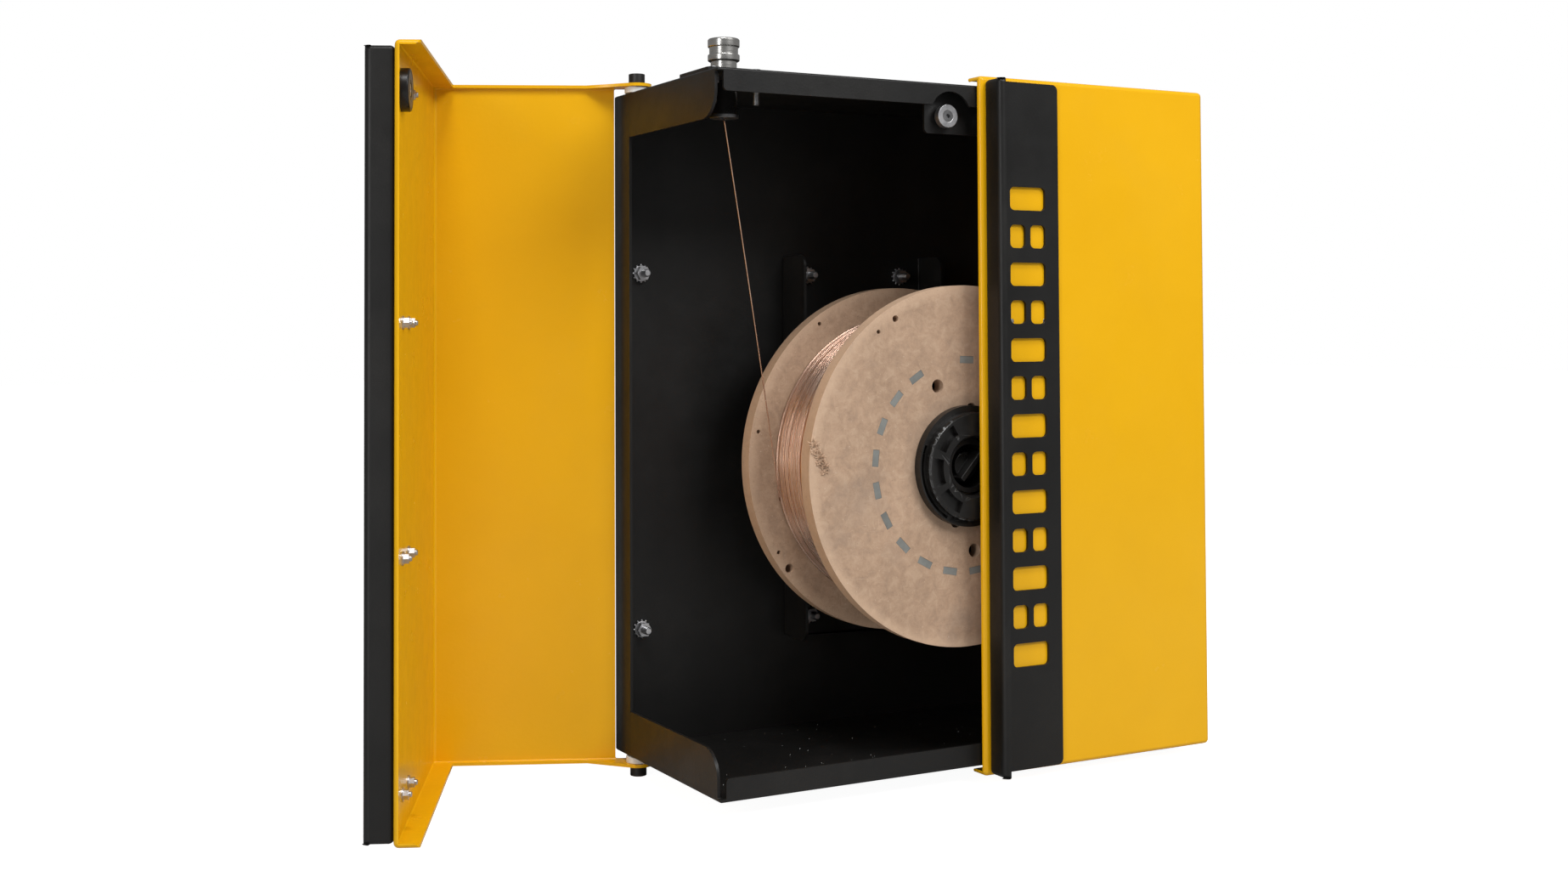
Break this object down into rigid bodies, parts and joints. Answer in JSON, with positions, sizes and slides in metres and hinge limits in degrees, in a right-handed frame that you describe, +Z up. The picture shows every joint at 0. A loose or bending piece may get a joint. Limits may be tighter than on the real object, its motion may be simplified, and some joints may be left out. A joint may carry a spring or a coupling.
{
  "type": "wire reel enclosure",
  "caption": "Folded steel enclosure for a large wire reel, with hinged L-shaped doors, magnetic catches, a braked reel hub and a quick-connect wire outlet on top.",
  "frame": {"origin": "centre of the four wall studs, on the rear face of the back panel", "axes": "+X to the right seen from the front, +Y out of the back towards the wall, +Z up"},
  "size_m": [0.8626, 0.3236, 0.7054],
  "materials": {
    "black_powder": "satin black powder coat with a fine texture",
    "yellow_powder": "signal yellow semi-gloss powder coat",
    "zinc_plated": "clear zinc plating",
    "black_oxide": "black oxide steel",
    "dark_steel": "dark steel, machined",
    "white_nylon": "white nylon",
    "nickel": "turned and nickel plated brass",
    "black_plastic": "moulded black glass-filled nylon",
    "fibreboard": "medium density fibreboard, bare",
    "stave_board": "grey hardboard slat ends",
    "copper_wire": "bright drawn copper-coated wire",
    "bronze": "sintered bronze",
    "friction_lining": "bonded brake lining",
    "magnet_face": "grey magnet pole face in a black cup"
  },
  "bodies": {
    "frame": {"back_panel": "black_powder", "top_tray": "black_powder", "bottom_tray": "black_powder", "strike_bracket": "black_powder", "strike_buttons": "zinc_plated", "strike_screws": "dark_steel", "spool_bracket": "black_powder", "bracket_studs": "zinc_plated", "bracket_washers": "zinc_plated", "bracket_nuts": "zinc_plated", "wall_studs": "zinc_plated", "wall_washers": "zinc_plated", "wall_nuts": "zinc_plated", "hinge_screws": "black_oxide", "hinge_spacers": "white_nylon", "hinge_weld_nuts": "black_powder", "spindle": "zinc_plated", "spindle_screws": "dark_steel", "brake_washer": "friction_lining", "thrust_washer": "zinc_plated", "brake_springs": "dark_steel", "feed_wire": "copper_wire", "outlet_plate": "black_powder", "outlet_screws": "dark_steel", "outlet_nuts": "zinc_plated", "outlet_body": "nickel", "wire_guide": "black_plastic", "guide_eyelet": "dark_steel"},
    "left_door_set": {"left_door": "yellow_powder", "left_handle": "black_powder", "left_handle_studs": "zinc_plated", "left_handle_nuts": "zinc_plated", "left_magnet": "magnet_face", "left_magnet_screw": "zinc_plated"},
    "right_door_set": {"right_door": "yellow_powder", "right_handle": "black_powder", "right_handle_studs": "zinc_plated", "right_handle_nuts": "zinc_plated", "right_magnet": "magnet_face", "right_magnet_screw": "zinc_plated"},
    "reel_set": {"hub_sleeve": "black_plastic", "hub_bushes": "bronze", "drive_pin": "zinc_plated", "reel_front_flange": "fibreboard", "reel_rear_flange": "fibreboard", "reel_staves": "stave_board", "copper_winding": "copper_wire"},
    "cap": {"hub_cap": "black_plastic"},
    "knob": {"brake_knob": "black_plastic"},
    "collar": {"release_collar": "nickel"}
  },
  "joints": [
    {"name": "left_door_hinge", "type": "hinge", "parent": "frame", "child": "left_door_set", "pos_m": [-0.267, -0.034, 0], "axis": [0, 0, 1], "range_deg": [-8, 114]},
    {"name": "right_door_hinge", "type": "hinge", "parent": "frame", "child": "right_door_set", "pos_m": [0.267, -0.034, 0], "axis": [0, 0, 1], "range_deg": [0, 122]},
    {"name": "reel_spin", "type": "hinge", "parent": "frame", "child": "reel_set", "pos_m": [0, -0.14, -0.011], "axis": [0, 1, 0], "continuous": true},
    {"name": "cap_turn", "type": "hinge", "parent": "reel_set", "child": "cap", "pos_m": [0, -0.214, -0.011], "axis": [0, 1, 0], "range_deg": [0, 60]},
    {"name": "brake_turn", "type": "hinge", "parent": "frame", "child": "knob", "pos_m": [0, -0.2, -0.011], "axis": [0, 1, 0], "range_deg": [-180, 180]},
    {"name": "collar_slide", "type": "slide", "parent": "frame", "child": "collar", "axis": [0, 0, 1], "range_m": [-0.006, 0]}
  ]
}
